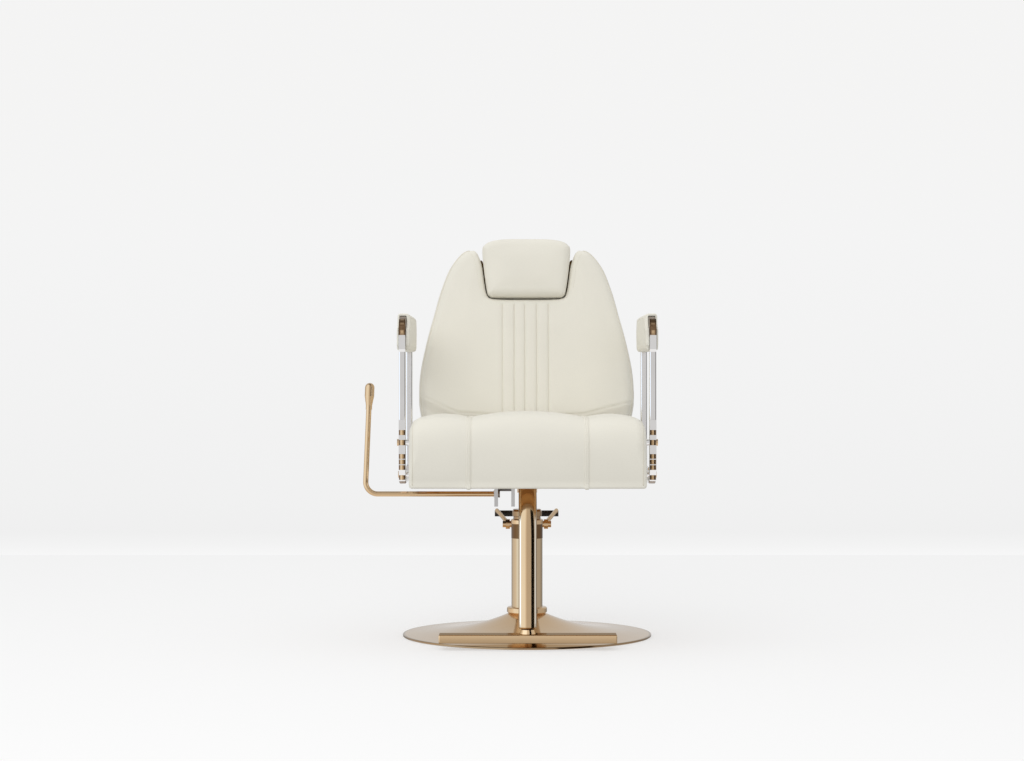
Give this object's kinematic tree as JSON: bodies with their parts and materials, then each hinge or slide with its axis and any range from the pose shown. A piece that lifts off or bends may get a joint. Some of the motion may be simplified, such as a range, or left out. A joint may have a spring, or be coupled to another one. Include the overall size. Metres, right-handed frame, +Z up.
{
  "type": "styling chair",
  "caption": "Reclining hydraulic styling chair: round pedestal base, upholstered seat, winged backrest with a sliding headrest, loop armrests and a hung footrest.",
  "frame": {"origin": "centre of the round base, on the floor", "axes": "+Z up along the column; the sitter faces -Y; the recline lever is on the -X side"},
  "size_m": [0.6952, 0.663, 0.9822],
  "materials": {
    "champagne_gold": "polished",
    "polished_chrome": "polished",
    "machined_steel": "satin",
    "black_steel": "satin",
    "cast_weight": "matte",
    "cream_upholstery": "satin",
    "birch_ply": "matte",
    "black_rubber": "matte",
    "bearing_plastic": "matte",
    "black_plastic": "matte"
  },
  "bodies": {
    "base": {"base_cover": "champagne_gold", "base_weight": "cast_weight", "floor_ring": "black_rubber", "pump_flange": "machined_steel", "flange_bolts": "machined_steel", "base_collar": "champagne_gold", "pump_tube": "champagne_gold", "inner_cylinder": "machined_steel", "pump_head": "champagne_gold", "gland_bush": "bearing_plastic", "wiper_seal": "black_rubber", "pedal_bushes": "bearing_plastic", "plunger_spring": "machined_steel"},
    "plunger": {"pump_plunger": "machined_steel"},
    "pedal": {"pedal_axle": "champagne_gold", "pedal_frame": "champagne_gold", "pedal_tread": "black_rubber", "pedal_cam": "machined_steel"},
    "ram": {"piston_rod": "polished_chrome", "piston_seal": "black_rubber"},
    "seat": {"swivel_hub": "machined_steel", "thrust_washer": "machined_steel", "mount_plate": "black_steel", "mount_bolts": "machined_steel", "seat_frame": "black_steel", "seat_board": "birch_ply", "seat_side_boards": "birch_ply", "seat_cushion": "cream_upholstery", "arm_loop_left": "polished_chrome", "arm_loop_right": "polished_chrome", "arm_trim_left": "polished_chrome", "arm_trim_right": "polished_chrome", "arm_ferrules": "champagne_gold", "arm_pad_left": "cream_upholstery", "arm_pad_right": "cream_upholstery", "arm_standoffs": "champagne_gold", "arm_bolts": "champagne_gold", "footrest_post": "champagne_gold", "footrest_bracket": "machined_steel", "footrest_bar": "champagne_gold", "recline_bracket": "polished_chrome", "lever_bushes": "bearing_plastic", "gas_head": "machined_steel", "gas_cylinder": "black_steel", "gas_saddle": "black_plastic", "hinge_brackets": "black_steel", "hinge_pins": "machined_steel"},
    "gas_piston": {"gas_rod": "machined_steel", "gas_pin": "machined_steel"},
    "button": {"release_button": "machined_steel"},
    "lever": {"recline_lever": "champagne_gold", "lever_grip": "champagne_gold", "lever_cam": "machined_steel"},
    "back": {"back_cushion": "cream_upholstery", "back_board": "birch_ply", "rear_cover": "cream_upholstery", "back_frame": "black_steel", "headrest_guides": "bearing_plastic"},
    "headrest": {"headrest_cushion": "cream_upholstery", "headrest_posts": "polished_chrome"}
  },
  "joints": [
    {"name": "seat_lift", "type": "slide", "parent": "base", "child": "ram", "axis": [0, 0, 1], "range_m": [0, 0.15]},
    {"name": "seat_swivel", "type": "hinge", "parent": "ram", "child": "seat", "pos_m": [0, 0, 0.35], "axis": [0, 0, 1], "continuous": true},
    {"name": "back_recline", "type": "hinge", "parent": "seat", "child": "back", "pos_m": [0, 0.215, 0.43], "axis": [-1, 0, 0], "range_deg": [0, 55]},
    {"name": "headrest_slide", "type": "slide", "parent": "back", "child": "headrest", "axis": [0, 0.2079, 0.9781], "range_m": [0, 0.1]},
    {"name": "strut_slide", "type": "slide", "parent": "seat", "child": "gas_piston", "axis": [0, -1, 0], "range_m": [0, 0.0655]},
    {"name": "recline_lever", "type": "hinge", "parent": "seat", "child": "lever", "pos_m": [0, -0.11, 0.348], "axis": [-1, 0, 0], "range_deg": [0, 15]},
    {"name": "button_push", "type": "slide", "parent": "seat", "child": "button", "axis": [0, 1, 0], "range_m": [0, 0.0062]},
    {"name": "pump_pedal", "type": "hinge", "parent": "base", "child": "pedal", "pos_m": [0, 0.04, 0.267], "axis": [-1, 0, 0], "range_deg": [0, 22]},
    {"name": "plunger_push", "type": "slide", "parent": "base", "child": "plunger", "axis": [0, 0, -1], "range_m": [0, 0.0066], "deforming": ["plunger_spring"]}
  ],
  "couplings": [
    {"joint": "strut_slide", "follows": "back_recline", "m_per_rad": 0.067936},
    {"joint": "button_push", "follows": "recline_lever", "m_per_rad": 0.0232},
    {"joint": "plunger_push", "follows": "pump_pedal", "m_per_rad": 0.01691}
  ]
}
